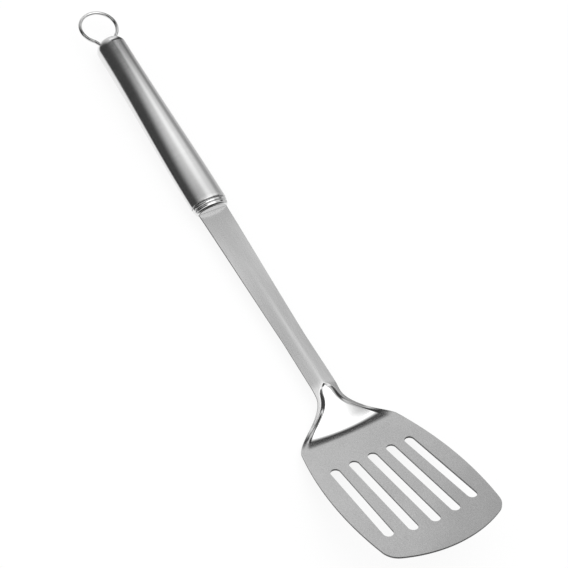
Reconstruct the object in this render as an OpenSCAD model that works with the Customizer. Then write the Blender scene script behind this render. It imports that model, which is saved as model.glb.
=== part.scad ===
// Slotted kitchen turner: one pressed steel sheet (blade, neck, shank and tang), an oval hollow handle,
// a front ferrule with two beads, a domed end cap and a wire hanging loop.
// It lies face up as it rests on a table: X across, Y towards the handle's end, Z up.
// All sizes are in millimetres and all angles in degrees.

/* [Blade] */
// Width of the blade at its widest place
blade_w = 73.4; // [50:1:110]
// Length of the blade from the crease under the neck to the middle of the tip
blade_len = 93; // [60:0.2:140]
// Angle at which the blade rises towards the tip, against the handle's axis
blade_rise = 23.9; // [10:0.1:35]
// Thickness of the sheet
sheet_t = 1; // [0.8:0.1:2]
// Radius of the two long side edges
side_r = 185; // [120:5:400]
// Distance from the crease to the widest place
side_peak = 53; // [30:1:80]
// Radius of the tip edge
tip_r = 68; // [50:1:150]
// Radius of the two corners beside the tip
corner_r = 10; // [3:0.5:15]

/* [Slots] */
// Number of slots
slot_count = 5; // [3:2:7]
// Width of a slot
slot_w = 5.4; // [3:0.1:8]
// Distance from the crease to the centres of the slots' upper ends
slot_top = 21.4; // [15:0.1:40]
// Distance from the crease to the centre of the middle slot's lower end
slot_bottom = 73.4; // [45:0.1:110]
// Amount by which a slot beside the middle one ends earlier, growing with the square of its number
slot_lag = 0.94; // [0:0.01:2]
// Distance between neighbouring slots at their upper ends
pitch_top = 11.25; // [8:0.05:15]
// Distance between neighbouring slots at their lower ends
pitch_bottom = 12.5; // [8:0.05:16]

/* [Neck] */
// Length of the neck's flat face from its apex to the crease
neck_len = 27.7; // [18:0.1:45]
// Angle at which the straight line from the apex to the crease goes down
neck_dip = 11; // [5:0.1:20]
// Angle at which the neck's flat face goes down, before it turns up into the blade
face_dip = 16.6; // [5:0.1:25]
// Radius of the slight curve across the neck's flat face
neck_crown_r = 150; // [80:5:400]
// Distance from the apex to where the outline starts to flare
flare_start = 4.4; // [0:0.1:12]
// Length over which the outline flares from the shank to the blade
flare_len = 24; // [15:0.5:40]
// Length in which the flat face widens into its arch, at the apex
arch_len = 3.3; // [2:0.1:8]
// Width of the strip outside the flat face's border, near the crease
strip_w = 3.4; // [1:0.1:7]
// Angle at which that strip goes down to the side
strip_angle = 8; // [0:1:40]
// Height of the step round the neck's flat face, two thirds as high at the apex
lip_h = 0.8; // [0:0.05:1.2]
// Width of that step
lip_w = 3.4; // [0.8:0.1:4]
// Softness of the bend along the crease
crease_soft = 3.6; // [0.3:0.1:4]

/* [Shank] */
// Length of the shank from the handle's mouth to the neck's apex
shank_len = 120.15; // [80:0.5:180]
// Angle at which the shank rises towards the blade, against the handle's axis
shank_rise = 1.16; // [0:0.01:4]
// Width of the shank where it leaves the handle
shank_w = 17.1; // [10:0.1:19]
// Width of the shank at its waist
waist_w = 13.3; // [8:0.1:19]
// Distance from the handle's mouth to the waist
waist_at = 90; // [50:1:100]
// Width of the shank at the neck's apex
apex_w = 13.8; // [8:0.1:20]
// Slope of the ridge along the shank, at the neck
ridge_slope = 10; // [0:0.5:20]
// Softness of the ridge's top
ridge_soft = 1.5; // [0.5:0.1:4]
// Distance from the handle's mouth over which the shank is still flat
ridge_from = 8; // [0:1:40]
// Width of the tang inside the handle
tang_w = 16; // [8:0.1:17]
// Length of the tang behind the handle's mouth
tang_len = 45; // [20:1:80]

/* [Handle tube] */
// Diameter of the tube's round back part
tube_d = 17.2; // [13:0.1:24]
// Width of the tube's oval front
front_w = 21; // [17:0.1:28]
// Thickness of the tube's oval front
front_h = 12.8; // [10:0.1:18]
// Thickness of the tube's wall
tube_wall = 1; // [0.6:0.1:1.6]
// Distance from the handle's mouth to the tube's front end
tube_front = 0.2; // [0:0.1:6]
// Position of the tube's back end
tube_back = 109.8; // [80:1:150]
// Length of the even oval stretch at the front
oval_len = 6.8; // [2:0.1:20]
// Length of the even round stretch at the back
round_len = 6; // [4:0.5:20]

/* [Ferrule] */
// Length of the bead next to the tube
bead_a_len = 2.4; // [1.5:0.1:4]
// Length of the bead at the ferrule's front
bead_b_len = 2.3; // [1.5:0.1:4]
// Inset of the first bead's top from the tube's outline
bead_a_inset = 0.25; // [0:0.05:1]
// Inset of the second bead's top from the tube's outline
bead_b_inset = 0.55; // [0:0.05:1.5]
// Inset of the grooves' bottoms from the tube's outline
groove_inset = 1.2; // [0.5:0.05:1.5]
// Rounding of the ferrule's front edge
nose_r = 1.9; // [0.5:0.1:2.4]
// Length of the ferrule's spigot inside the tube
ferrule_spigot = 10; // [5:0.5:20]

/* [End cap] */
// Radius of the dome's top
crown_r = 12; // [9:0.5:30]
// Radius of the dome's rounded side
dome_edge_r = 6; // [2:0.1:8]
// Thickness of the cap's wall
cap_t = 1; // [0.6:0.1:1.6]
// Length of the cap's spigot inside the tube
cap_spigot = 7; // [4:0.5:15]

/* [Hanging loop] */
// Diameter of the wire
wire_d = 2; // [1.4:0.1:3]
// Radius of the ring, at the wire's middle
ring_r = 10.3; // [7:0.1:16]
// Distance from the dome's top to the ring's centre
ring_out = 9.8; // [6:0.1:14]
// Angle below the ring's centre at which each leg leaves the ring
leg_from = 48; // [30:1:60]
// Angle between each leg and the handle's axis
leg_angle = 30; // [15:1:45]
// Radius of the small bend between ring and leg, at the wire's middle
leg_bend_r = 3; // [1.5:0.1:6]
// Length of the straight part of each leg
leg_len = 8.5; // [4:0.5:12]

/* [Fits] */
// Clearance on each side between the tang and its slot in the ferrule
tang_clear = 0.1; // [0.05:0.05:0.5]
// Clearance all round between a spigot and the tube
spigot_clear = 0.1; // [0.05:0.05:0.5]
// Clearance all round between a leg of the loop and its hole
leg_clear = 0.08; // [0.05:0.01:0.5]

/* [Hidden] */
$fn = 96;

// The handle's mouth, just in front of the tube, is Y = 0 and the sheet's upper face there is Z = 0.
// Sheet: Y runs towards the tip.
sheet_columns = 20;
row_step = 1;
apex_y = shank_len * cos(shank_rise);
apex_z = shank_len * sin(shank_rise);
crease_y = apex_y + neck_len * cos(neck_dip);
crease_z = apex_z - neck_len * sin(neck_dip);
// The pressed sheet ends at this distance past the crease, and the flat blade starts there.
flat_from = 6;
flat_y = crease_y + flat_from * cos(blade_rise);
// The tang takes on its own width over this length.
shoulder_len = 4;
// Length past the apex over which the neck takes on its full form.
neck_grow = 14;
// Growth of half the flat face's width with each millimetre, right at the apex.
arch_slope = 1.5;
// The close rows of the sheet start at this distance before the apex.
rows_lead = 3;
// Half of the length over which the centre line bends down at the apex.
apex_soft = 2.7;

function smooth(t) = let (k = min(max(t, 0), 1)) k * k * (3 - 2 * k);
// The larger of two heights, with a soft bend of size k between them.
function soft_max(a, b, k) = max(a, b) + pow(max(k - abs(a - b), 0), 2) / (4 * k);

// Half the oval tube's outer width and height. For the handle's pieces Y runs towards the loop.
round_from = tube_back - round_len;
function tube_t(y) = smooth((y - tube_front - oval_len) / (round_from - tube_front - oval_len));
function tube_a(y) = front_w / 2 * (1 - tube_t(y)) + tube_d / 2 * tube_t(y);
function tube_b(y) = front_h / 2 * (1 - tube_t(y)) + tube_d / 2 * tube_t(y);

// The tang stays clear of the tube's wall, which is closest at the tang's end and on its underside.
tang_low = tang_len * sin(shank_rise) + sheet_t;
tang_share = tang_low / (tube_b(tang_len) - tube_wall);
tang_room = (tube_a(tang_len) - tube_wall) * sqrt(1 - pow(tang_share, 2)) - tang_clear;
tang_half = min(tang_w / 2, tang_room);

function side_half(u) = blade_w / 2 - side_r + sqrt(max(side_r * side_r - pow(u - side_peak, 2), 0));
function shank_half(y) = lookup(y, [
    [-tang_len, tang_half],
    [-shoulder_len, tang_half],
    [0, shank_w / 2],
    [waist_at, waist_w / 2],
    [apex_y, apex_w / 2]
]);
function sheet_half(y) =
    let (k = smooth((y - apex_y - flare_start) / flare_len))
    shank_half(y) * (1 - k) + side_half((y - crease_y) / cos(blade_rise)) * k;

// Distance past the apex, with a soft start, and how much of the neck's full form has been reached there.
function past_apex(y) = soft_max(y - apex_y, 0, apex_soft);
function neck_share(y) = smooth((y - apex_y) / neck_grow);
// Half the width of the neck's flat face, which begins as an arch at the apex.
function face_half(y) =
    (sheet_half(y) - strip_w / 2 * (1 + neck_share(y))) * (1 - exp(-past_apex(y) / arch_len));
function face_inside(x, y) = face_half(y) - abs(x) + arch_slope * (y - apex_y - past_apex(y));
// The sides go down from the ridge on the shank, and from the flat face's border on the neck.
function ridge_slope_at(y) = smooth((y - ridge_from) / (waist_at - ridge_from)) * tan(ridge_slope);
function side_drop(x, y) =
    let (
        slope = ridge_slope_at(y) + neck_share(y) * (tan(strip_angle) - tan(ridge_slope)),
        out = max(abs(x) - face_half(y), 0)
    )
    slope * (sqrt(out * out + ridge_soft * ridge_soft) - ridge_soft);
function neck_z(x, y) =
    y * tan(shank_rise)
    - past_apex(y) * (tan(face_dip) + tan(shank_rise))
    - side_drop(x, y)
    - neck_share(y) * x * x / (2 * neck_crown_r)
    + lip_h / 3 * (2 + neck_share(y)) * smooth(face_inside(x, y) / lip_w + 0.5);
function blade_z(y) = crease_z + (y - crease_y) * tan(blade_rise);
function sheet_z(x, y) = soft_max(neck_z(x, y), blade_z(y), crease_soft * (1 + pow(2 * x / blade_w, 2)));

// Unit normal of the upper face, and the point one sheet thickness below it.
slope_step = 0.01;
function slope_x(x, y) = (sheet_z(x + slope_step, y) - sheet_z(x - slope_step, y)) / (2 * slope_step);
function slope_y(x, y) = (sheet_z(x, y + slope_step) - sheet_z(x, y - slope_step)) / (2 * slope_step);
function upper(x, y) = [x, y, sheet_z(x, y)];
function lower(x, y) =
    let (n = [-slope_x(x, y), -slope_y(x, y), 1])
    upper(x, y) - n * sheet_t / norm(n);

// From the sheet's own frame to the blade's: Y along the blade from the crease, Z square to it.
function to_blade(p) =
    let (dy = p[1] - crease_y, dz = p[2] - crease_z)
    [p[0], dy * cos(blade_rise) + dz * sin(blade_rise), dz * cos(blade_rise) - dy * sin(blade_rise)];

close_from = apex_y - rows_lead;
neck_rows = ceil((flat_y - close_from) / row_step);
shank_rows = 10;
sheet_rows = concat(
    [-tang_len, -shoulder_len, 0],
    [for (k = [1:shank_rows]) close_from * k / (shank_rows + 1)],
    [for (k = [0:neck_rows]) close_from + (flat_y - close_from) * k / neck_rows]
);
function row_x(y, j) = sheet_half(y) * (2 * j / sheet_columns - 1);
sheet_upper = [for (y = sheet_rows, j = [0:sheet_columns]) upper(row_x(y, j), y)];
sheet_lower = [for (y = sheet_rows, j = [0:sheet_columns]) lower(row_x(y, j), y)];

// Tube: its middle is on Y.
ring_points = 48;
tube_rows = 12;
tube_stations = concat(
    [tube_front],
    [for (k = [0:tube_rows]) tube_front + oval_len + (round_from - tube_front - oval_len) * k / tube_rows],
    [tube_back]
);
function oval(y, a, b) = [for (i = [0:ring_points - 1]) [
    a * cos(360 * i / ring_points), y, b * sin(360 * i / ring_points)]];

// Loop: each stretch of wire starts a little inside the one before it and is a hair thinner.
lap = 0.03;
lap_step = 0.01;
dome_h = crown_r - sqrt(pow(crown_r - dome_edge_r, 2) - pow(tube_d / 2 - dome_edge_r, 2));
ring_y = tube_back + dome_h + ring_out;
leg_x = (ring_r + leg_bend_r) * cos(leg_from) - leg_bend_r * cos(leg_angle);
leg_y = ring_y - (ring_r + leg_bend_r) * sin(leg_from) + leg_bend_r * sin(leg_angle);

// Resting place: the angle at which the neck's underside and the handle's back part are level.
tube_low = [for (y = tube_stations) [y, -tube_b(y)]];
sheet_low = [for (p = sheet_lower) [-p[1], p[2]]];
rest_tilt = -atan(min([for (q = tube_low) max([for (p = sheet_low)
    if (p[0] < -waist_at) (p[1] - q[1]) / (p[0] - q[0])])]));
rest_z = -min([for (q = tube_low) q[0] * sin(rest_tilt) + q[1] * cos(rest_tilt)]);
tip_y = -crease_y - blade_len * cos(blade_rise);
tip_z = crease_z + blade_len * sin(blade_rise);
tip_low_y = tip_y - sheet_t * sin(blade_rise);
tip_low_z = tip_z - sheet_t * cos(blade_rise);
end_front = tip_low_y * cos(rest_tilt) - tip_low_z * sin(rest_tilt);
end_back = (ring_y + ring_r) * cos(rest_tilt) + wire_d / 2;
rest_y = -(end_front + end_back) / 2;

module at_rest() {
    translate([0, rest_y, rest_z]) rotate([rest_tilt, 0, 0]) children();
}

module both_sides() {
    children();
    mirror([1, 0, 0]) children();
}

// Triangles of a skin from one ring to the next, for each pair of ring numbers.
function skin(pairs) = [for (k = pairs, i = [0:ring_points - 1])
    let (j = (i + 1) % ring_points, a = k[0] * ring_points, b = k[1] * ring_points)
    each [[a + i, b + i, a + j], [a + j, b + i, b + j]]];

// A solid whose skin runs through a list of rings, closed by its first and last ring.
module loft(rings) {
    last = len(rings) - 1;
    polyhedron(
        points = [for (r = rings, p = r) p],
        faces = concat(
            [[for (i = [0:ring_points - 1]) i]],
            [[for (i = [ring_points - 1:-1:0]) last * ring_points + i]],
            skin([for (k = [0:last - 1]) [k, k + 1]])
        )
    );
}

// A hollow solid whose skin runs through a list of rings and from the last one back to the first.
module hollow_loft(rings) {
    polyhedron(
        points = [for (r = rings, p = r) p],
        faces = skin([for (k = [0:len(rings) - 1]) [k, (k + 1) % len(rings)]])
    );
}

// The outline of one slot, number i counted from the middle one.
module slot(i) {
    upper_end = [pitch_top * i, slot_top];
    lower_end = [pitch_bottom * i, slot_bottom - slot_lag * i * i];
    run = lower_end - upper_end;
    lean = atan2(run[1], run[0]);
    side = slot_w / 2 * [sin(lean), -cos(lean)];
    polygon(concat(
        [lower_end + side],
        arc(lower_end, slot_w / 2, lean - 90, lean + 90, 16),
        [upper_end - side],
        arc(upper_end, slot_w / 2, lean + 90, lean + 270, 16)
    ));
}

// The right-hand corner beside the tip: its circle touches the side edge and the tip edge from inside.
side_c = [blade_w / 2 - side_r, side_peak];
tip_c = [0, blade_len - tip_r];
corner_gap = norm(tip_c - side_c);
corner_along = (pow(corner_gap, 2) + pow(side_r - corner_r, 2) - pow(tip_r - corner_r, 2)) / (2 * corner_gap);
corner_off = sqrt(pow(side_r - corner_r, 2) - pow(corner_along, 2));
corner_dir = (tip_c - side_c) / corner_gap;
corner_c = side_c + corner_dir * corner_along + [-corner_dir[1], corner_dir[0]] * corner_off;
side_from = asin((flat_from - side_peak) / side_r);
side_to = atan2(corner_c[1] - side_c[1], corner_c[0] - side_c[0]);
tip_from = atan2(corner_c[1] - tip_c[1], corner_c[0] - tip_c[0]);

// Points of an arc after its start, up to and with its end.
function arc(c, r, from, to, steps) =
    [for (k = [1:steps]) let (q = from + (to - from) * k / steps) c + r * [cos(q), sin(q)]];

// The flat blade's edge, from the pressed sheet's right end around the tip to its left end.
edge_right = concat(
    arc(side_c, side_r, side_from, side_to, 14),
    arc(corner_c, corner_r, side_to, tip_from, 8),
    arc(tip_c, tip_r, tip_from, 90, 10)
);
edge_steps = len(edge_right);
blade_edge = concat(edge_right, [for (k = [edge_steps - 2:-1:0]) [-edge_right[k][0], edge_right[k][1]]]);

// The whole sheet without its slots, in the blade's frame. A row runs across the sheet, from left to right.
module solid_sheet() {
    w = sheet_columns + 1;
    rows = len(sheet_rows);
    low = rows * w;
    join = low - w;
    rim = len(blade_edge);
    mid = edge_steps - 1;
    up_rim = 2 * low;
    low_rim = up_rim + rim;
    // Numbers of the points around the flat blade, on its upper and its lower face.
    up_run = concat([join + w - 1], [for (i = [0:rim - 1]) up_rim + i], [join]);
    low_run = concat([low + join + w - 1], [for (i = [0:rim - 1]) low_rim + i], [low + join]);
    polyhedron(
        points = concat(
            [for (p = concat(sheet_upper, sheet_lower)) to_blade(p)],
            [for (p = blade_edge) [p[0], p[1], 0]],
            [for (p = blade_edge) [p[0], p[1], -sheet_t]]
        ),
        faces = concat(
            [for (r = [0:rows - 2], j = [0:w - 2]) let (a = r * w + j, b = a + w)
                each [[a, b, a + 1], [a + 1, b, b + 1]]],
            [for (r = [0:rows - 2], j = [0:w - 2]) let (a = low + r * w + j, b = a + w)
                each [[a, a + 1, b], [a + 1, b + 1, b]]],
            [for (r = [0:rows - 2]) let (a = r * w, b = a + w)
                each [[a, low + a, b], [b, low + a, low + b]]],
            [for (r = [0:rows - 2]) let (a = r * w + w - 1, b = a + w)
                each [[a, b, low + a], [b, low + b, low + a]]],
            [for (j = [0:w - 2]) [j, j + 1, low + j + 1, low + j]],
            [[for (i = [mid:-1:0]) up_rim + i, for (j = [w - 1:-1:0]) join + j,
                for (i = [rim - 1:-1:mid + 1]) up_rim + i]],
            [[for (i = [mid:rim - 1]) low_rim + i, for (j = [0:w - 1]) low + join + j,
                for (i = [0:mid - 1]) low_rim + i]],
            [for (i = [0:rim]) [up_run[i], up_run[i + 1], low_run[i + 1], low_run[i]]]
        )
    );
}

module blade_and_shank() {
    side_slots = (slot_count - 1) / 2;
    color([0.78, 0.78, 0.78]) at_rest() rotate([0, 0, 180])
        translate([0, crease_y, crease_z]) rotate([blade_rise, 0, 0]) difference() {
            solid_sheet();
            for (i = [-side_slots:side_slots])
                translate([0, 0, -2 * sheet_t]) linear_extrude(3 * sheet_t) slot(i);
        }
}

module handle_tube() {
    back = len(tube_stations) - 1;
    color([0.72, 0.72, 0.72]) at_rest() hollow_loft(concat(
        [for (y = tube_stations) oval(y, tube_a(y), tube_b(y))],
        [for (k = [back:-1:0]) let (y = tube_stations[k])
            oval(y, tube_a(y) - tube_wall, tube_b(y) - tube_wall)]
    ));
}

// A ring of the ferrule, inset from the tube's front outline.
function ferrule_ring(y, inset) = oval(y, front_w / 2 - inset, front_h / 2 - inset);
bead_mid = tube_front - bead_a_len;
nose_y = bead_mid - bead_b_len;
spigot_inset = tube_wall + spigot_clear;

module front_ferrule() {
    color([0.85, 0.85, 0.85]) at_rest() difference() {
        loft(concat(
            [for (q = [0:15:90])
                ferrule_ring(nose_y + nose_r * (1 - cos(q)), bead_b_inset + nose_r * (1 - sin(q)))],
            [for (q = [30:30:90])
                ferrule_ring(bead_mid - (bead_b_len - nose_r) * (1 - sin(q)),
                    bead_b_inset + (groove_inset - bead_b_inset) * (1 - cos(q)))],
            [for (q = [20:20:180])
                ferrule_ring(bead_mid + bead_a_len / 2 * (1 - cos(q)),
                    groove_inset - (groove_inset - bead_a_inset) * sin(q))],
            [for (y = [tube_front, tube_front + ferrule_spigot]) ferrule_ring(y, spigot_inset)]
        ));
        rotate([-shank_rise, 0, 0])
            translate([-shank_w / 2 - tang_clear, nose_y - 1, -sheet_t - tang_clear])
            cube([shank_w + 2 * tang_clear, ferrule_spigot + 10, sheet_t + 2 * tang_clear]);
    }
}

// Half of a dome's section: a flat crown circle that runs on into a smaller circle at the side.
module dome_half(r, crown, edge) {
    drop = sqrt(pow(crown - edge, 2) - pow(r - edge, 2));
    reach = 2 * crown / (crown - edge);
    intersection() {
        union() {
            translate([r - edge, 0]) circle(r = edge);
            intersection() {
                translate([0, -drop]) circle(r = crown);
                translate([0, -drop]) polygon([[0, 0], [(r - edge) * reach, drop * reach], [0, 2 * crown]]);
            }
        }
        square(2 * crown);
    }
}

module end_cap() {
    spigot_r = tube_d / 2 - tube_wall - spigot_clear;
    color([0.72, 0.72, 0.72]) at_rest() difference() {
        translate([0, tube_back, 0]) rotate([-90, 0, 0]) rotate_extrude() difference() {
            union() {
                dome_half(tube_d / 2, crown_r, dome_edge_r);
                translate([0, -cap_spigot]) square([spigot_r, cap_spigot]);
            }
            intersection() {
                union() {
                    dome_half(tube_d / 2 - cap_t, crown_r - cap_t, dome_edge_r - cap_t);
                    translate([0, -cap_spigot - 1]) square([tube_d, cap_spigot + 1]);
                }
                translate([0, -cap_spigot - 1]) square([spigot_r - cap_t, cap_spigot + 1 + crown_r]);
            }
        }
        both_sides() leg(wire_d / 2 + leg_clear);
    }
}

// The straight part of the loop's right leg, with the given radius.
module leg(r) {
    translate([leg_x, leg_y, 0]) rotate([90, 0, -leg_angle]) translate([0, 0, -lap])
        cylinder(r = r, h = leg_len);
}

// The small bend between the ring and the right leg.
module leg_bend() {
    bend_at = ring_r + leg_bend_r;
    lap_angle = lap / leg_bend_r * 180 / PI;
    translate([bend_at * cos(leg_from), ring_y - bend_at * sin(leg_from), 0])
        rotate([0, 0, 180 - leg_from - lap_angle]) rotate_extrude(angle = leg_from - leg_angle + lap_angle)
        translate([leg_bend_r, 0]) circle(r = wire_d / 2 - lap_step);
}

module hanging_loop() {
    color([0.85, 0.85, 0.85]) at_rest() {
        translate([0, ring_y, 0]) rotate([0, 0, -leg_from])
            rotate_extrude(angle = 180 + 2 * leg_from) translate([ring_r, 0]) circle(d = wire_d);
        both_sides() leg_bend();
        both_sides() leg(wire_d / 2 - 2 * lap_step);
    }
}

blade_and_shank();
handle_tube();
front_ferrule();
end_cap();
hanging_loop();
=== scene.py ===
import math

import bpy
from mathutils import Matrix, Vector


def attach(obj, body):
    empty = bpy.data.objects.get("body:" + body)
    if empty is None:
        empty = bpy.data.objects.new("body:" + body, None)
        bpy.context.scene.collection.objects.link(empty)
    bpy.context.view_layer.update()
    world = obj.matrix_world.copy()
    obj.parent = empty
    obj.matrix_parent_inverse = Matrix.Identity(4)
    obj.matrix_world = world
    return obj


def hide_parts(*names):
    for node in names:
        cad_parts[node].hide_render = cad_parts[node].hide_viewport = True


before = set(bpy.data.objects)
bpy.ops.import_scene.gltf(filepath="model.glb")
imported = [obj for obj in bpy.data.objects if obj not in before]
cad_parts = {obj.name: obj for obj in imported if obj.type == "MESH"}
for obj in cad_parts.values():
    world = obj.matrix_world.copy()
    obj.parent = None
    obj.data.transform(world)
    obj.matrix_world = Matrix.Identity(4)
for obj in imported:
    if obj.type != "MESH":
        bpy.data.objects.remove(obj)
bpy.ops.object.select_all(action="DESELECT")
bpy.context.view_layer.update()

# Sizes in millimetres and degrees, in the tool's own frame: X across, Y along the handle's axis towards the
# loop with 0 just in front of the tube, Z up from the shank's upper face.
MM = 0.001
BLADE_W, BLADE_LEN, BLADE_RISE, SHEET_T = 73.4, 93.0, 23.9, 1.0
SIDE_R, SIDE_PEAK, TIP_R, CORNER_R = 185.0, 53.0, 68.0, 10.0
SLOT_COUNT, SLOT_W, SLOT_TOP, SLOT_BOTTOM, SLOT_LAG = 5, 5.4, 21.4, 73.4, 0.94
PITCH_TOP, PITCH_BOTTOM = 11.25, 12.5
NECK_LEN, NECK_DIP, FACE_DIP, NECK_CROWN_R = 27.7, 11.0, 16.6, 150.0
FLARE_START, FLARE_LEN = 4.4, 24.0
ARCH_LEN, ARCH_SLOPE, STRIP_W, STRIP_ANGLE = 3.3, 1.5, 3.4, 8.0
NECK_GROW, APEX_SOFT = 14.0, 2.7
LIP_H, LIP_W = 0.8, 3.4
CREASE_SOFT = 3.6
SHANK_LEN, SHANK_RISE = 120.15, 1.16
SHANK_W, WAIST_W, WAIST_AT, APEX_W = 17.1, 13.3, 90.0, 13.8
RIDGE_SLOPE, RIDGE_SOFT, RIDGE_FROM = 10.0, 1.5, 8.0
TANG_W, TANG_LEN, SHOULDER_LEN = 16.0, 45.0, 4.0
TUBE_D, FRONT_W, FRONT_H, TUBE_WALL = 17.2, 21.0, 12.8, 1.0
TUBE_FRONT, TUBE_BACK, OVAL_LEN, ROUND_LEN = 0.2, 109.8, 6.8, 6.0
BEAD_A_LEN, BEAD_A_INSET, GROOVE_INSET = 2.4, 0.25, 1.2
BEAD_B_LEN, BEAD_B_INSET, NOSE_R = 2.3, 0.55, 1.9
FERRULE_SPIGOT, SPIGOT_CLEAR, TANG_CLEAR = 10.0, 0.1, 0.1
CROWN_R, DOME_EDGE_R, CAP_SPIGOT = 12.0, 6.0, 7.0
WIRE_D, RING_R, RING_OUT = 2.0, 10.3, 9.8
LEG_FROM, LEG_ANGLE, LEG_BEND_R, LEG_LEN, LEG_CLEAR = 48.0, 30.0, 3.0, 8.5, 0.08
ROUND_STEPS = 96
# A step so small that it doesn't show, between points that mustn't meet.
HAIR = 0.001

# The tool lies tilted by this angle, and its frame's origin is here on the table.
REST_TILT, REST_Y, REST_Z = 0.751627, 47.8456, 7.30015
REST = (
    Matrix.Scale(MM, 4)
    @ Matrix.Translation((0, REST_Y, REST_Z))
    @ Matrix.Rotation(math.radians(REST_TILT), 4, "X")
)


def sin(q):
    return math.sin(math.radians(q))


def cos(q):
    return math.cos(math.radians(q))


def tan(q):
    return math.tan(math.radians(q))


def smooth(t):
    k = min(max(t, 0.0), 1.0)
    return k * k * (3 - 2 * k)


def soft_max(a, b, k):
    return max(a, b) + max(k - abs(a - b), 0.0) ** 2 / (4 * k)


# The pressed sheet. Here Y runs from the handle towards the tip.
APEX_Y = SHANK_LEN * cos(SHANK_RISE)
APEX_Z = SHANK_LEN * sin(SHANK_RISE)
CREASE_Y = APEX_Y + NECK_LEN * cos(NECK_DIP)
CREASE_Z = APEX_Z - NECK_LEN * sin(NECK_DIP)
FLAT_FROM = 6.0
FLAT_Y = CREASE_Y + FLAT_FROM * cos(BLADE_RISE)


def along(y, stops):
    """Straight runs between (y, value) stops."""
    for (y0, v0), (y1, v1) in zip(stops, stops[1:]):
        if y <= y1:
            return v0 + (v1 - v0) * max(y - y0, 0.0) / (y1 - y0)
    return stops[-1][1]


def side_half(u):
    return BLADE_W / 2 - SIDE_R + math.sqrt(max(SIDE_R**2 - (u - SIDE_PEAK) ** 2, 0.0))


def sheet_half(y):
    stops = [
        (-TANG_LEN, TANG_W / 2),
        (-SHOULDER_LEN, TANG_W / 2),
        (0, SHANK_W / 2),
        (WAIST_AT, WAIST_W / 2),
        (APEX_Y, APEX_W / 2),
    ]
    k = smooth((y - APEX_Y - FLARE_START) / FLARE_LEN)
    return along(y, stops) * (1 - k) + side_half((y - CREASE_Y) / cos(BLADE_RISE)) * k


def past_apex(y):
    """Distance past the apex, with a soft start."""
    return soft_max(y - APEX_Y, 0.0, APEX_SOFT)


def neck_share(y):
    """How much of the neck's full form has been reached."""
    return smooth((y - APEX_Y) / NECK_GROW)


def face_half(y):
    """Half the width of the neck's flat face, which begins as an arch at the apex."""
    return (sheet_half(y) - STRIP_W / 2 * (1 + neck_share(y))) * (1 - math.exp(-past_apex(y) / ARCH_LEN))


def face_inside(x, y):
    """Millimetres inside the border of the neck's flat face."""
    return face_half(y) - abs(x) + ARCH_SLOPE * (y - APEX_Y - past_apex(y))


def side_drop(x, y):
    """How far the sides go down from the shank's ridge and from the border of the neck's flat face."""
    ridge = smooth((y - RIDGE_FROM) / (WAIST_AT - RIDGE_FROM)) * tan(RIDGE_SLOPE)
    slope = ridge + neck_share(y) * (tan(STRIP_ANGLE) - tan(RIDGE_SLOPE))
    out = max(abs(x) - face_half(y), 0.0)
    return slope * (math.sqrt(out**2 + RIDGE_SOFT**2) - RIDGE_SOFT)


def neck_z(x, y):
    centre = y * tan(SHANK_RISE) - past_apex(y) * (tan(FACE_DIP) + tan(SHANK_RISE))
    crown = neck_share(y) * x * x / (2 * NECK_CROWN_R)
    lip = LIP_H / 3 * (2 + neck_share(y)) * smooth(face_inside(x, y) / LIP_W + 0.5)
    return centre - side_drop(x, y) - crown + lip


def blade_z(y):
    return CREASE_Z + (y - CREASE_Y) * tan(BLADE_RISE)


def sheet_z(x, y):
    return soft_max(neck_z(x, y), blade_z(y), CREASE_SOFT * (1 + (2 * x / BLADE_W) ** 2))


def polish(x, y):
    """1 on the polished neck face and its bends, 0 on the satin shank and blade."""
    past_border, past_crease, fade = 2.0, 1.76, 0.8
    above = neck_z(x, y) - blade_z(y)
    return smooth(face_inside(x, y) + past_border) * smooth((above + past_crease) / fade)


# From the sheet's frame to the tool's, and from the flat blade's frame to the sheet's.
TURN = Matrix.Rotation(math.pi, 4, "Z")
BLADE_TILT = Matrix.Rotation(math.radians(BLADE_RISE), 4, "X")
BLADE_PLACE = Matrix.Translation((0, CREASE_Y, CREASE_Z)) @ BLADE_TILT


def arc(centre, r, start, end, steps):
    """Points of an arc after its start, up to and with its end."""
    turns = [start + (end - start) * k / steps for k in range(1, steps + 1)]
    return [(centre[0] + r * cos(q), centre[1] + r * sin(q)) for q in turns]


def blade_edge():
    """The flat blade's edge in the blade's frame, from the pressed sheet's right end to its left end."""
    side = Vector((BLADE_W / 2 - SIDE_R, SIDE_PEAK))
    tip = Vector((0, BLADE_LEN - TIP_R))
    gap = (tip - side).length
    run = (gap**2 + (SIDE_R - CORNER_R) ** 2 - (TIP_R - CORNER_R) ** 2) / (2 * gap)
    off = math.sqrt((SIDE_R - CORNER_R) ** 2 - run**2)
    way = (tip - side) / gap
    corner = side + way * run + Vector((-way.y, way.x)) * off
    side_to = math.degrees(math.atan2(corner.y - side.y, corner.x - side.x))
    tip_from = math.degrees(math.atan2(corner.y - tip.y, corner.x - tip.x))
    side_from = math.degrees(math.asin((FLAT_FROM - SIDE_PEAK) / SIDE_R))
    right = arc(side, SIDE_R, side_from, side_to, 40)
    right += arc(corner, CORNER_R, side_to, tip_from, 20)
    right += arc(tip, TIP_R, tip_from, 90, 24)
    return right + [(-x, y) for x, y in reversed(right[:-1])]


def select_only(obj):
    bpy.ops.object.select_all(action="DESELECT")
    obj.select_set(True)
    bpy.context.view_layer.objects.active = obj


def apply(obj, kind, **settings):
    """Adds a modifier with its settings and applies it."""
    select_only(obj)
    mod = obj.modifiers.new(kind.title(), kind)
    for name, value in settings.items():
        setattr(mod, name, value)
    bpy.ops.object.modifier_apply(modifier=mod.name)


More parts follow.
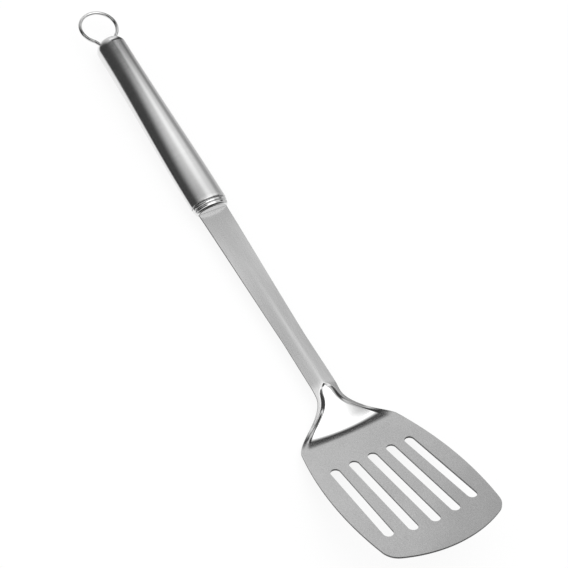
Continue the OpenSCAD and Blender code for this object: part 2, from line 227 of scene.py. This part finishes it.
def finish_piece(obj, node, material, flat_angle=30):
    """Puts a piece made in the tool's frame in its place, and lets it stand for its CAD node."""
    obj.data.transform(REST)
    obj.data.materials.clear()
    obj.data.materials.append(material)
    select_only(obj)
    bpy.ops.object.shade_smooth_by_angle(angle=math.radians(flat_angle))
    apply(obj, "WEIGHTED_NORMAL", keep_sharp=True, weight=90)
    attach(obj, "root")
    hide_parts(node)


def slot_cutter(number):
    """A long block with round ends, where one slot goes through the blade."""
    top = Vector((PITCH_TOP * number, SLOT_TOP))
    bottom = Vector((PITCH_BOTTOM * number, SLOT_BOTTOM - SLOT_LAG * number**2))
    run = bottom - top
    bpy.ops.mesh.primitive_cube_add(size=1)
    cutter = bpy.context.object
    cutter.data.transform(Matrix.Diagonal((SLOT_W, run.length + SLOT_W, 6 * SHEET_T, 1)))
    bpy.ops.object.mode_set(mode="EDIT")
    bpy.ops.mesh.select_all(action="DESELECT")
    bpy.ops.object.mode_set(mode="OBJECT")
    for edge in cutter.data.edges:
        a, b = (cutter.data.vertices[i].co for i in edge.vertices)
        edge.select = abs(a.z - b.z) > 1
    bpy.ops.object.mode_set(mode="EDIT")
    bpy.ops.mesh.select_mode(type="EDGE")
    bpy.ops.mesh.bevel(offset=SLOT_W / 2 - HAIR, segments=14)
    bpy.ops.object.mode_set(mode="OBJECT")
    middle = (top + bottom) / 2
    cutter.data.transform(
        Matrix.Translation((middle.x, middle.y, 0)) @ Matrix.Rotation(-math.atan2(run.x, run.y), 4, "Z")
    )
    return cutter


def cut(obj, cutters):
    """Cuts each cutter out of a piece and removes it."""
    for cutter in cutters:
        apply(obj, "BOOLEAN", operation="DIFFERENCE", solver="EXACT", object=cutter)
        bpy.data.objects.remove(cutter)


def sheet_rows():
    """Places of the pressed sheet's rows: wide apart on the tang and shank, close on the neck."""
    shank_rows, neck_rows = 60, 120
    near = APEX_Y - 5
    tang = [-TANG_LEN, -TANG_LEN / 2, -SHOULDER_LEN, -SHOULDER_LEN / 2, 0]
    shank = [near * k / shank_rows for k in range(1, shank_rows)]
    neck = [near + (FLAT_Y - near) * k / neck_rows for k in range(neck_rows + 1)]
    return tang + shank + neck


def press(obj, rows):
    """Moves a flat grid's rows to their places on the pressed sheet, in the blade's frame."""
    to_blade = BLADE_PLACE.inverted()
    for v in obj.data.vertices:
        y = rows[round((v.co.y + 1) / 2 * (len(rows) - 1))]
        x = v.co.x * sheet_half(y)
        v.co = to_blade @ Vector((x, y, sheet_z(x, y)))


def select_vertices(obj, chosen):
    """Goes into edit mode with these vertices selected, given by their numbers."""
    select_only(obj)
    bpy.ops.object.mode_set(mode="EDIT")
    bpy.ops.mesh.select_all(action="DESELECT")
    bpy.ops.object.mode_set(mode="OBJECT")
    for i in chosen:
        obj.data.vertices[i].select = True
    bpy.ops.object.mode_set(mode="EDIT")
    bpy.ops.mesh.select_mode(type="VERT")


def flat_border(obj):
    """The vertices round the flat blade, which are all that lie past the pressed sheet."""
    return [v for v in obj.data.vertices if v.co.y > FLAT_FROM - 10 * HAIR]


def add_flat_blade(obj):
    """Draws the blade's edge from the last row's right end round to its left end, and fills it."""
    row = flat_border(obj)
    left = min(row, key=lambda v: v.co.x)
    right = max(row, key=lambda v: v.co.x)
    stops = [right.co.to_2d()] + [Vector(stop) for stop in blade_edge()] + [left.co.to_2d()]
    select_vertices(obj, [right.index])
    for a, b in zip(stops, stops[1:]):
        bpy.ops.mesh.extrude_region_move(TRANSFORM_OT_translate={"value": (b - a).to_3d()})
    bpy.ops.object.mode_set(mode="OBJECT")
    select_vertices(obj, [v.index for v in flat_border(obj)])
    bpy.ops.mesh.remove_doubles(threshold=HAIR)
    bpy.ops.mesh.edge_face_add()
    bpy.ops.object.mode_set(mode="OBJECT")


def mark_finish(obj):
    """Notes how polished each point of the sheet is, and how much it lies on a sheared side face or bevel,
    which the material makes dull and paints near black as painted shade.
    """
    for name in ("polish", "dull_edge_and_painted_shade"):
        obj.data.attributes.new(name, "FLOAT", "POINT")
    shine = obj.data.attributes["polish"].data
    dull_edge_and_painted_shade = obj.data.attributes["dull_edge_and_painted_shade"].data
    level, fade = 0.8, 0.3
    back = TURN.inverted()
    for i, v in enumerate(obj.data.vertices):
        p = back @ v.co
        shine[i].value = polish(p.x, p.y)
        # Near 1 where the normal turns away from the sheet's faces, on the side faces and bevels: dull
        # finish and painted shade.
        dull_edge_and_painted_shade[i].value = smooth((level - abs(v.normal.z)) / fade)


def make_sheet(material):
    rows = sheet_rows()
    columns = 110
    bpy.ops.mesh.primitive_grid_add(x_subdivisions=columns, y_subdivisions=len(rows) - 1, size=2)
    obj = bpy.context.object
    obj.name = "visual_blade_and_shank"
    press(obj, rows)
    add_flat_blade(obj)
    apply(obj, "SOLIDIFY", thickness=SHEET_T, offset=-1, use_even_offset=True)
    side = (SLOT_COUNT - 1) // 2
    cut(obj, [slot_cutter(i) for i in range(-side, side + 1)])
    apply(obj, "BEVEL", width=0.3, segments=3, limit_method="ANGLE", angle_limit=math.radians(50))
    obj.data.transform(TURN @ BLADE_PLACE)
    mark_finish(obj)
    finish_piece(obj, "blade_and_shank", material)


def loft(name, stations, closed):
    """A skin from one oval ring to the next, by extruding and resizing a circle.

    A station is (y, half width, half height). A closed skin has both its ends filled.
    """
    y, a, b = stations[0]
    bpy.ops.mesh.primitive_circle_add(vertices=ROUND_STEPS, radius=1, rotation=(math.pi / 2, 0, 0))
    obj = bpy.context.object
    obj.name = name
    bpy.ops.object.transform_apply(rotation=True)
    obj.data.transform(Matrix.Translation((0, y, 0)) @ Matrix.Diagonal((a, 1, b, 1)))
    bpy.ops.object.mode_set(mode="EDIT")
    bpy.ops.mesh.select_all(action="SELECT")
    if closed:
        bpy.ops.mesh.edge_face_add()
        bpy.ops.mesh.select_all(action="SELECT")
    for (y0, a0, b0), (y1, a1, b1) in zip(stations, stations[1:]):
        bpy.ops.mesh.extrude_region_move(TRANSFORM_OT_translate={"value": (0, y1 - y0, 0)})
        bpy.ops.transform.resize(value=(a1 / a0, 1, b1 / b0))
    bpy.ops.mesh.select_all(action="SELECT")
    bpy.ops.mesh.remove_doubles(threshold=1e-5)
    bpy.ops.mesh.normals_make_consistent(inside=False)
    bpy.ops.object.mode_set(mode="OBJECT")
    return obj


def tube_half(y, front):
    """Half of the tube's width or height at y, for that half at the oval front."""
    t = smooth((y - TUBE_FRONT - OVAL_LEN) / (TUBE_BACK - ROUND_LEN - TUBE_FRONT - OVAL_LEN))
    return front / 2 * (1 - t) + TUBE_D / 2 * t


def make_tube(material):
    lip = 0.35
    stations = []
    for q in (0, 30, 60, 90):
        y = TUBE_FRONT + lip * (1 - cos(q))
        stations.append((y, FRONT_W / 2 - lip * (1 - sin(q)), FRONT_H / 2 - lip * (1 - sin(q))))
    steps = 60
    for k in range(1, steps + 1):
        y = TUBE_FRONT + lip + (TUBE_BACK - TUBE_FRONT - lip) * k / steps
        stations.append((y, tube_half(y, FRONT_W), tube_half(y, FRONT_H)))
    obj = loft("visual_handle_tube", stations, closed=False)
    apply(obj, "SOLIDIFY", thickness=TUBE_WALL, offset=-1)
    finish_piece(obj, "handle_tube", material)


def make_ferrule(material):
    mid = TUBE_FRONT - BEAD_A_LEN
    nose = mid - BEAD_B_LEN
    insets = []
    for q in range(0, 91, 9):
        insets.append((nose + NOSE_R * (1 - cos(q)), BEAD_B_INSET + NOSE_R * (1 - sin(q))))
    for q in range(10, 91, 10):
        inset = BEAD_B_INSET + (GROOVE_INSET - BEAD_B_INSET) * (1 - cos(q))
        insets.append((mid - (BEAD_B_LEN - NOSE_R) * (1 - sin(q)), inset))
    for q in range(10, 181, 10):
        inset = GROOVE_INSET - (GROOVE_INSET - BEAD_A_INSET) * sin(q)
        insets.append((mid + BEAD_A_LEN / 2 * (1 - cos(q)), inset))
    inner = TUBE_WALL + SPIGOT_CLEAR
    insets += [(TUBE_FRONT + HAIR, inner), (TUBE_FRONT + FERRULE_SPIGOT, inner)]
    stations = [(y, FRONT_W / 2 - i, FRONT_H / 2 - i) for y, i in insets]
    obj = loft("visual_front_ferrule", stations, closed=True)
    bpy.ops.mesh.primitive_cube_add(size=1)
    cutter = bpy.context.object
    cutter_len = 60
    size = (SHANK_W + 2 * TANG_CLEAR, cutter_len, SHEET_T + 2 * TANG_CLEAR, 1)
    cutter.data.transform(
        Matrix.Rotation(math.radians(-SHANK_RISE), 4, "X")
        @ Matrix.Translation((0, 0, -SHEET_T / 2))
        @ Matrix.Diagonal(size)
    )
    cut(obj, [cutter])
    finish_piece(obj, "front_ferrule", material, flat_angle=40)


def crown_drop():
    """How far the centre of the dome's crown is inside the tube's end."""
    return math.sqrt((CROWN_R - DOME_EDGE_R) ** 2 - (TUBE_D / 2 - DOME_EDGE_R) ** 2)


def dome_stations():
    """The dome's stations, from the tube's end to close to its top."""
    edge_steps, crown_steps, top = 14, 11, 89.6
    r = TUBE_D / 2
    meet = math.degrees(math.atan2(crown_drop(), r - DOME_EDGE_R))
    points = []
    for k in range(edge_steps + 1):
        q = meet * k / edge_steps
        points.append((DOME_EDGE_R * sin(q), r - DOME_EDGE_R + DOME_EDGE_R * cos(q)))
    for k in range(1, crown_steps + 1):
        q = meet + (top - meet) * k / crown_steps
        points.append((CROWN_R * sin(q) - crown_drop(), CROWN_R * cos(q)))
    return [(TUBE_BACK + y, a, a) for y, a in points]


def ring_centre():
    return TUBE_BACK + CROWN_R - crown_drop() + RING_OUT


def leg_start():
    """Where the right leg's straight part starts."""
    reach = RING_R + LEG_BEND_R
    x = reach * cos(LEG_FROM) - LEG_BEND_R * cos(LEG_ANGLE)
    y = ring_centre() - reach * sin(LEG_FROM) + LEG_BEND_R * sin(LEG_ANGLE)
    return Vector((x, y, 0))


def make_cap(material):
    r = TUBE_D / 2 - TUBE_WALL - SPIGOT_CLEAR
    stations = [(TUBE_BACK - CAP_SPIGOT, r, r), (TUBE_BACK - HAIR, r, r)] + dome_stations()
    obj = loft("visual_end_cap", stations, closed=True)
    start = leg_start()
    hole_len = LEG_LEN + 1
    cutters = []
    for side in (-1, 1):
        bpy.ops.mesh.primitive_cylinder_add(vertices=48, radius=WIRE_D / 2 + LEG_CLEAR, depth=hole_len)
        cutter = bpy.context.object
        way = Vector((-side * sin(LEG_ANGLE), -cos(LEG_ANGLE), 0))
        middle = Vector((side * start.x, start.y, 0)) + way * hole_len / 2
        cutter.data.transform(Matrix.Translation(middle) @ way.to_track_quat("Z", "Y").to_matrix().to_4x4())
        cutters.append(cutter)
    cut(obj, cutters)
    finish_piece(obj, "end_cap", material, flat_angle=35)


def make_loop(material):
    """The wire, from the end of the right leg through the ring to the end of the left leg."""
    start = leg_start()
    way = Vector((-sin(LEG_ANGLE), -cos(LEG_ANGLE), 0))
    end = start + way * LEG_LEN
    bpy.ops.mesh.primitive_circle_add(vertices=32, radius=WIRE_D / 2, fill_type="NGON")
    obj = bpy.context.object
    obj.name = "visual_hanging_loop"
    obj.data.transform(Matrix.Translation(end) @ (-way).to_track_quat("Z", "Y").to_matrix().to_4x4())
    bpy.ops.object.mode_set(mode="EDIT")
    bpy.ops.mesh.select_all(action="SELECT")
    bpy.ops.mesh.extrude_region_move(TRANSFORM_OT_translate={"value": tuple(-way * LEG_LEN)})
    reach = RING_R + LEG_BEND_R
    centre = ring_centre()
    bend = math.radians(LEG_FROM - LEG_ANGLE)
    right = (reach * cos(LEG_FROM), centre - reach * sin(LEG_FROM), 0)
    left = (-right[0], right[1], 0)
    ring = math.radians(180 + 2 * LEG_FROM)
    for middle, angle, steps in ((right, -bend, 6), ((0, centre, 0), ring, 120), (left, -bend, 6)):
        bpy.ops.mesh.spin(steps=steps, angle=-angle, center=middle, axis=(0, 0, 1))
    left_way = Vector((-way.x, way.y, 0))
    bpy.ops.mesh.extrude_region_move(TRANSFORM_OT_translate={"value": tuple(left_way * LEG_LEN)})
    bpy.ops.mesh.select_all(action="SELECT")
    bpy.ops.mesh.remove_doubles(threshold=1e-4)
    bpy.ops.mesh.normals_make_consistent(inside=False)
    bpy.ops.object.mode_set(mode="OBJECT")
    finish_piece(obj, "hanging_loop", material, flat_angle=50)


def new_material(name, color):
    """A metal with a plain colour, and its nodes for more."""
    mat = bpy.data.materials.new(name)
    mat.use_nodes = True
    shader = mat.node_tree.nodes["Principled BSDF"]
    shader.inputs["Base Color"].default_value = (*color, 1)
    shader.inputs["Metallic"].default_value = 1
    return mat, mat.node_tree, shader


def link(tree, a, b):
    tree.links.new(a, b)


def grain(tree, stretch, size, detail=4):
    """Fine streaks in object space: a noise stretched by a scale along each axis."""
    place = tree.nodes.new("ShaderNodeTexCoord")
    mapping = tree.nodes.new("ShaderNodeMapping")
    mapping.inputs["Scale"].default_value = stretch
    noise = tree.nodes.new("ShaderNodeTexNoise")
    noise.inputs["Scale"].default_value = size
    noise.inputs["Detail"].default_value = detail
    noise.inputs["Roughness"].default_value = 0.6
    link(tree, place.outputs["Object"], mapping.inputs["Vector"])
    link(tree, mapping.outputs["Vector"], noise.inputs["Vector"])
    return noise.outputs["Fac"]


def ranged(tree, value, low, high):
    """A noise, which mostly lies between 0.3 and 0.7, spread from low to high."""
    node = tree.nodes.new("ShaderNodeMapRange")
    node.inputs["From Min"].default_value = 0.3
    node.inputs["From Max"].default_value = 0.7
    node.inputs["To Min"].default_value = low
    node.inputs["To Max"].default_value = high
    link(tree, value, node.inputs["Value"])
    return node.outputs["Result"]


def bumped(tree, shader, height, strength, distance):
    bump = tree.nodes.new("ShaderNodeBump")
    bump.inputs["Strength"].default_value = strength
    bump.inputs["Distance"].default_value = distance
    link(tree, height, bump.inputs["Height"])
    link(tree, bump.outputs["Normal"], shader.inputs["Normal"])


def mixed(tree, factor, a, b):
    """A value that goes from a to b with the factor. Each of a and b is a number or a node's output."""
    node = tree.nodes.new("ShaderNodeMix")
    for value, name in ((a, "A"), (b, "B")):
        if isinstance(value, float):
            node.inputs[name].default_value = value
        else:
            link(tree, value, node.inputs[name])
    link(tree, factor, node.inputs["Factor"])
    return node.outputs["Result"]


def step(tree, value, low, high):
    """0 below low, 1 above high and a smooth rise between them. With low above high it falls."""
    node = tree.nodes.new("ShaderNodeMapRange")
    node.interpolation_type = "SMOOTHSTEP"
    falls = low > high
    node.inputs["From Min"].default_value = high if falls else low
    node.inputs["From Max"].default_value = low if falls else high
    node.inputs["To Min"].default_value = 1 if falls else 0
    node.inputs["To Max"].default_value = 0 if falls else 1
    link(tree, value, node.inputs["Value"])
    return node.outputs["Result"]


def times(tree, *values):
    """The values multiplied together."""
    result = values[0]
    for value in values[1:]:
        node = tree.nodes.new("ShaderNodeMath")
        node.operation = "MULTIPLY"
        link(tree, result, node.inputs[0])
        link(tree, value, node.inputs[1])
        result = node.outputs[0]
    return result


def zone(tree, *limits):
    """1 inside all the limits and 0 outside any of them. A limit is a coordinate, its start and its end."""
    return times(tree, *[step(tree, *limit) for limit in limits])


def sheet_material():
    """Satin steel with grain along the tool, a polished neck face, and dull sheared edges painted near
    black as painted shade.
    """
    mat, tree, shader = new_material("satin_sheet", (0.53, 0.53, 0.53))
    streaks = grain(tree, (9, 0.35, 9), 260)
    cloud = grain(tree, (1, 1, 1), 35, 2)
    shine = tree.nodes.new("ShaderNodeAttribute")
    shine.attribute_name = "polish"
    satin = tree.nodes.new("ShaderNodeMath")
    satin.operation = "ADD"
    link(tree, ranged(tree, streaks, 0.19, 0.29), satin.inputs[0])
    link(tree, ranged(tree, cloud, -0.02, 0.02), satin.inputs[1])
    rough = mixed(tree, shine.outputs["Fac"], satin.outputs[0], 0.1)
    edge = tree.nodes.new("ShaderNodeAttribute")
    edge.attribute_name = "dull_edge_and_painted_shade"
    link(tree, mixed(tree, edge.outputs["Fac"], rough, 0.35), shader.inputs["Roughness"])
    faces = mixed(tree, shine.outputs["Fac"], 0.53, 0.86)
    # The sheared side faces are painted near black, a painted shade where the sheet's thickness lies in
    # shadow; their roughness above is the real dull finish.
    link(tree, mixed(tree, edge.outputs["Fac"], faces, 0.14), shader.inputs["Base Color"])
    bumped(tree, shader, streaks, 0.05, 0.0002)
    return mat


def tube_material():
    """Satin steel with fine grain round the handle."""
    mat, tree, shader = new_material("brushed_tube", (0.80, 0.80, 0.80))
    streaks = grain(tree, (0.5, 9, 0.5), 240)
    link(tree, ranged(tree, streaks, 0.16, 0.24), shader.inputs["Roughness"])
    bumped(tree, shader, streaks, 0.04, 0.0002)
    return mat


def polished_material():
    """Polished steel with faint wear marks."""
    mat, tree, shader = new_material("polished_steel", (0.82, 0.82, 0.82))
    marks = grain(tree, (1, 1, 1), 900)
    link(tree, ranged(tree, marks, 0.06, 0.13), shader.inputs["Roughness"])
    return mat


def make_world():
    """Plain white light, and the studio that the steel reflects.

    The studio is laid out by direction: bright screens overhead, and darker parts around and below them.
    """
    world = bpy.data.worlds.new("studio")
    bpy.context.scene.world = world
    world.use_nodes = True
    tree = world.node_tree
    place = tree.nodes.new("ShaderNodeTexCoord")
    split = tree.nodes.new("ShaderNodeSeparateXYZ")
    link(tree, place.outputs["Generated"], split.inputs[0])
    x, y, z = split.outputs
    black, dark, grey, pale = 0.04, 0.05, 0.6, 1.0
    # The screens overhead, nearer and farther.
    nearer = mixed(tree, zone(tree, (x, 0.44, 0.60)), 1.5, grey)
    farther = mixed(tree, zone(tree, (x, 0.10, 0.40)), 1.1, 1.6)
    farther = mixed(tree, zone(tree, (x, 0.48, 0.60)), farther, 1.25)
    farther = mixed(tree, zone(tree, (x, 0.70, 0.85)), farther, grey)
    room = mixed(tree, zone(tree, (y, 0.18, 0.30)), nearer, farther)
    # The black band across the far side, wider at the left, with a grey left end.
    room = mixed(tree, zone(tree, (y, 0.30, 0.56)), room, black)
    room = mixed(tree, zone(tree, (y, 0.38, 0.48), (x, 0.30, 0.16)), room, black)
    room = mixed(tree, zone(tree, (y, 0.56, 0.66), (x, 0.12, 0.02)), room, grey)
    # The lower part of the room, and its far end.
    room = mixed(tree, zone(tree, (z, 0.14, -0.04), (y, 0.56, 0.46)), room, grey)
    far_end = mixed(tree, zone(tree, (z, 0.26, 0.44)), 0.8, 1.2)
    room = mixed(tree, zone(tree, (y, 0.71, 0.80), (x, -0.06, 0.12)), room, far_end)
    # The left side, grey where it is near and dark where it is far.
    left = mixed(tree, zone(tree, (y, 0.10, 0.30)), 0.55, 0.045)
    room = mixed(tree, zone(tree, (x, -0.05, -0.72)), room, left)
    # The dark front, and the dark patches high up at the right and the left.
    room = mixed(tree, zone(tree, (y, -0.50, -0.68), (z, -0.30, 0.0)), room, dark)
    high = zone(tree, (y, -0.40, -0.28), (z, 0.30, 0.40))
    high_right = zone(tree, (y, 0.26, 0.16), (x, 0.75, 0.84))
    room = mixed(tree, times(tree, high, high_right), room, dark)
    high_left = zone(tree, (y, 0.34, 0.24), (x, 0.06, -0.06))
    room = mixed(tree, times(tree, high, high_left), room, dark)
    # The pale floor.
    room = mixed(tree, zone(tree, (z, -0.34, -0.52)), room, pale)
    path = tree.nodes.new("ShaderNodeLightPath")
    level = mixed(tree, path.outputs["Is Glossy Ray"], 1.0, room)
    back = tree.nodes["Background"]
    link(tree, level, back.inputs["Color"])
    back.inputs["Strength"].default_value = 1


def make_floor():
    """A pale floor that takes the shadow and shows to the camera almost as plain white."""
    bpy.ops.mesh.primitive_plane_add(size=8)
    floor = bpy.context.object
    floor.name = "floor"
    mat = bpy.data.materials.new("floor")
    mat.use_nodes = True
    shader = mat.node_tree.nodes["Principled BSDF"]
    shader.inputs["Base Color"].default_value = (0.93, 0.93, 0.93, 1)
    shader.inputs["Roughness"].default_value = 0.9
    shader.inputs["Specular IOR Level"].default_value = 0
    tree = mat.node_tree
    glow = tree.nodes.new("ShaderNodeEmission")
    mix = tree.nodes.new("ShaderNodeMixShader")
    path = tree.nodes.new("ShaderNodeLightPath")
    glow_share = 0.85
    link(tree, mixed(tree, path.outputs["Is Camera Ray"], 0.0, glow_share), mix.inputs["Fac"])
    link(tree, shader.outputs[0], mix.inputs[1])
    link(tree, glow.outputs[0], mix.inputs[2])
    link(tree, mix.outputs[0], tree.nodes["Material Output"].inputs["Surface"])
    floor.data.materials.append(mat)
    floor.visible_glossy = False


def make_lamp():
    """A large soft lamp overhead, for the faint shadow on the floor."""
    data = bpy.data.lights.new("overhead", "AREA")
    data.shape = "SQUARE"
    data.size = 1.6
    data.energy = 6
    lamp = bpy.data.objects.new("overhead", data)
    lamp.location = (0.3, 0.2, 1.6)
    lamp.rotation_euler = Vector(lamp.location).to_track_quat("Z", "Y").to_euler()
    lamp.visible_glossy = False
    bpy.context.scene.collection.objects.link(lamp)


def make_camera():
    """The photograph's viewpoint, with its place and direction in the tool's frame."""
    picture, focal_px, sensor = 568, 2000, 36
    place = Vector((-444.4, -440.0, 860.6))
    right = Vector((0.8379, -0.4974, 0.2248)).normalized()
    down = Vector((-0.3274, -0.7875, -0.5222))
    down = (down - right * down.dot(right)).normalized()
    ahead = right.cross(down)
    turn = Matrix((right, -down, -ahead)).transposed().to_4x4()
    data = bpy.data.cameras.new("camera")
    data.sensor_width = sensor
    data.lens = sensor * focal_px / picture
    data.clip_end = 20
    camera = bpy.data.objects.new("camera", data)
    tilt = Matrix.Rotation(math.radians(REST_TILT), 4, "X")
    camera.matrix_world = Matrix.Translation(REST @ place) @ tilt @ turn
    bpy.context.scene.collection.objects.link(camera)
    bpy.context.scene.camera = camera


make_sheet(sheet_material())
tube_steel = tube_material()
bright_steel = polished_material()
make_tube(tube_steel)
make_ferrule(bright_steel)
make_cap(tube_steel)
make_loop(bright_steel)
make_world()
make_floor()
make_lamp()
make_camera()
bpy.context.scene.view_settings.view_transform = "Standard"
